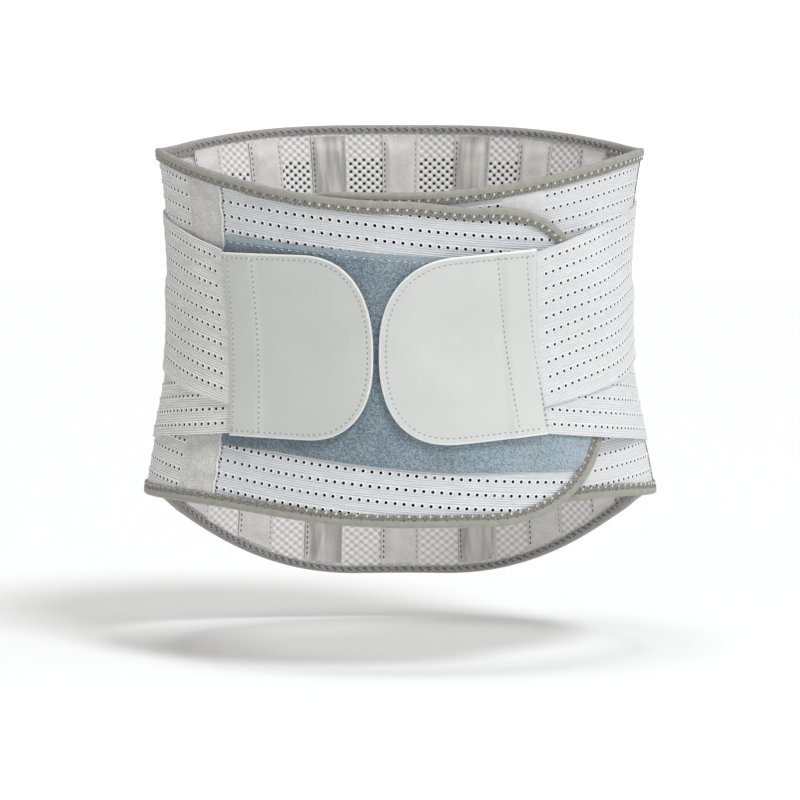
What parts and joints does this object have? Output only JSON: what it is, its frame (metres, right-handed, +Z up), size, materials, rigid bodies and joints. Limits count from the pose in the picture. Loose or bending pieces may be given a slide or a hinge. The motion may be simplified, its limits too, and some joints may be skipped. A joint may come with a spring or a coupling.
{
  "type": "lumbar support belt",
  "caption": "Flared elastic back support belt with a stayed mesh back, overlapping bound fronts, a loop pad and crossed pull straps that end in rounded hook tabs.",
  "frame": {"origin": "middle of the belt's plan, at the height of the lowest edge of the back", "axes": "+Z up, the wearer faces -Y, and +X points to the wearer's left"},
  "size_m": [0.307, 0.2369, 0.288],
  "materials": {
    "elastic": "knitted elastic with rows of small holes",
    "front_elastic": "knitted elastic with rows of small holes",
    "back_fabric": "plain knit",
    "mesh": "spacer mesh with a grid of holes",
    "tape": "woven tape",
    "satin": "satin tape with soft creases",
    "webbing": "woven band",
    "binding": "folded knit tape with a cover stitch",
    "dark_binding": "folded knit tape with a cover stitch",
    "seam": "narrow seam tape",
    "loop": "brushed loop pile",
    "hook": "hook tape",
    "coated": "smooth coated fabric",
    "plastic": "flexible stay",
    "steel": "flat spring stay"
  },
  "bodies": {
    "back": {"back_outer_panel": "back_fabric", "back_mesh_lining": "mesh", "stay_channel_1": "tape", "plastic_stay_1": "plastic", "stay_channel_2": "tape", "plastic_stay_2": "plastic", "stay_channel_3": "satin", "steel_stay_3": "steel", "stay_channel_4": "tape", "plastic_stay_4": "plastic", "stay_channel_5": "satin", "steel_stay_5": "steel", "stay_channel_6": "tape", "plastic_stay_6": "plastic", "stay_channel_7": "tape", "plastic_stay_7": "plastic", "back_top_binding": "dark_binding", "back_bottom_binding": "dark_binding", "right_strap_anchor": "webbing", "left_strap_anchor": "webbing"},
    "right_front": {"right_side_elastic": "elastic", "right_side_webbing": "webbing", "right_side_stay": "plastic", "right_front_panel": "front_elastic", "right_front_binding": "binding", "loop_pad": "loop", "closure_hook_patch": "hook", "right_upper_strap_root": "elastic", "right_lower_strap_root": "elastic"},
    "left_front": {"left_side_elastic": "elastic", "left_side_seam": "seam", "left_side_webbing": "webbing", "left_side_stay": "plastic", "left_front_panel": "front_elastic", "left_front_binding": "binding"},
    "right_pull": {"right_upper_strap": "elastic", "right_lower_strap": "elastic"},
    "right_tab": {"right_pull_tab": "coated", "right_tab_hook": "hook"},
    "left_pull": {"left_upper_strap": "elastic", "left_lower_strap": "elastic"},
    "left_tab": {"left_pull_tab": "coated", "left_tab_hook": "hook"}
  },
  "joints": [
    {"name": "right_front_open", "type": "hinge", "parent": "back", "child": "right_front", "pos_m": [-0.13953, 0.05185, 0.066], "axis": [-0.031, 0.0106, -0.9995], "range_deg": [0, 75]},
    {"name": "left_front_open", "type": "hinge", "parent": "back", "child": "left_front", "pos_m": [0.13626, 0.04954, 0.066], "axis": [-0.031, -0.0106, 0.9995], "range_deg": [0, 45]},
    {"name": "left_pull_open", "type": "hinge", "parent": "back", "child": "left_pull", "pos_m": [0.14034, 0.05243, 0.066], "axis": [-0.031, -0.0106, 0.9995], "range_deg": [0, 112.5]},
    {"name": "right_pull_open", "type": "hinge", "parent": "right_front", "child": "right_pull", "pos_m": [-0.14985, 0.02373, 0.09], "axis": [-0.0384, 0.0055, -0.9992], "range_deg": [0, 75]},
    {"name": "right_tab_peel", "type": "hinge", "parent": "right_pull", "child": "right_tab", "pos_m": [-0.10229, -0.09101, 0.104], "axis": [-0.0442, -0.0307, -0.9986], "range_deg": [0, 110]},
    {"name": "left_tab_peel", "type": "hinge", "parent": "left_pull", "child": "left_tab", "pos_m": [0.08238, -0.10178, 0.104], "axis": [-0.0357, 0.0344, 0.9988], "range_deg": [0, 110]}
  ],
  "couplings": [
    {"joint": "left_front_open", "follows": "right_front_open", "ratio": 0.6},
    {"joint": "left_pull_open", "follows": "right_front_open", "ratio": 1.5}
  ]
}
